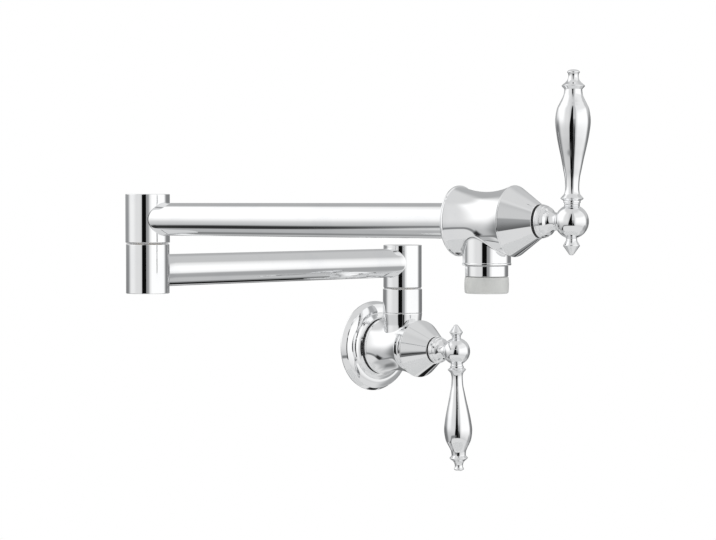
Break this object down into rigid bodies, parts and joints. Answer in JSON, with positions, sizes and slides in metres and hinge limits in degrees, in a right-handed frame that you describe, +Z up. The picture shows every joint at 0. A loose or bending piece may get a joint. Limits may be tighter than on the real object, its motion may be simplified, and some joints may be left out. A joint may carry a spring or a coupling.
{
  "type": "wall mounted pot filler",
  "caption": "Chrome wall mounted pot filler with two folding swivel arms, a wall valve and a spout valve with turned lever handles.",
  "frame": {"origin": "centre of the wall flange's back face, on the wall valve's axis", "axes": "+Y into the wall along the wall valve's axis, -Y into the room, +Z up, +X to the right as seen from the room"},
  "size_m": [0.3213, 0.4075, 0.2817],
  "materials": {
    "chrome": "polished chrome plate on brass, mirror bright",
    "brass": "machined bare brass",
    "screw_steel": "plain stainless grub screw",
    "rubber": "black sealing rubber",
    "foam": "soft dark sealing foam",
    "ceramic": null,
    "white_plastic": "white moulded plastic",
    "cloudy_plastic": "cloudy grey-white moulded plastic, slightly translucent"
  },
  "bodies": {
    "wall_unit": {"wall_flange": "chrome", "flange_gasket": "foam", "flange_set_screw": "screw_steel", "wall_valve_body": "chrome", "wall_bonnet": "chrome", "wall_cartridge": "brass", "wall_cartridge_o_ring": "rubber", "wall_seat_seal": "rubber", "wall_fixed_disc": "ceramic", "post_sleeve": "chrome", "post_spindle": "brass", "post_o_ring_lower": "rubber", "post_o_ring_upper": "rubber", "post_thrust_washer": "white_plastic", "post_retaining_nut": "brass"},
    "wall_handle": {"wall_moving_disc": "ceramic", "wall_stem": "brass", "wall_handle_collar": "chrome", "wall_handle_hub": "chrome", "wall_lever": "chrome", "wall_finial": "chrome", "wall_hub_screw": "screw_steel"},
    "inner_arm": {"post_head": "chrome", "post_cap": "chrome", "inner_arm_tube": "chrome", "lower_elbow": "chrome", "lower_elbow_plug": "chrome", "elbow_spindle": "brass", "elbow_o_ring_lower": "rubber", "elbow_o_ring_upper": "rubber", "elbow_thrust_washer": "white_plastic", "elbow_retaining_nut": "brass"},
    "outer_arm": {"upper_elbow": "chrome", "upper_elbow_cap": "chrome", "outer_arm_tube": "chrome", "spout_valve_body": "chrome", "spout_bonnet": "chrome", "spout_cartridge": "brass", "spout_cartridge_o_ring": "rubber", "spout_seat_seal": "rubber", "spout_fixed_disc": "ceramic", "aerator_housing": "chrome", "aerator_washer": "rubber", "aerator_nozzle": "cloudy_plastic", "aerator_insert": "white_plastic"},
    "spout_handle": {"spout_moving_disc": "ceramic", "spout_stem": "brass", "spout_handle_collar": "chrome", "spout_handle_hub": "chrome", "spout_lever": "chrome", "spout_finial": "chrome", "spout_hub_screw": "screw_steel"}
  },
  "joints": [
    {"name": "post_swivel", "type": "hinge", "parent": "wall_unit", "child": "inner_arm", "pos_m": [0, -0.033, 0.0656], "axis": [0, 0, 1], "range_deg": [-8, 172]},
    {"name": "elbow_swivel", "type": "hinge", "parent": "inner_arm", "child": "outer_arm", "pos_m": [-0.27133, -0.07113, 0.10075], "axis": [0, 0, 1], "range_deg": [-267, 78]},
    {"name": "wall_lever_turn", "type": "hinge", "parent": "wall_unit", "child": "wall_handle", "pos_m": [0, -0.0931, 0], "axis": [0, -1, 0], "range_deg": [0, 90]},
    {"name": "spout_lever_turn", "type": "hinge", "parent": "outer_arm", "child": "spout_handle", "pos_m": [-0.19902, -0.39731, 0.10075], "axis": [0.2164, -0.9763, 0], "range_deg": [0, 90]}
  ]
}
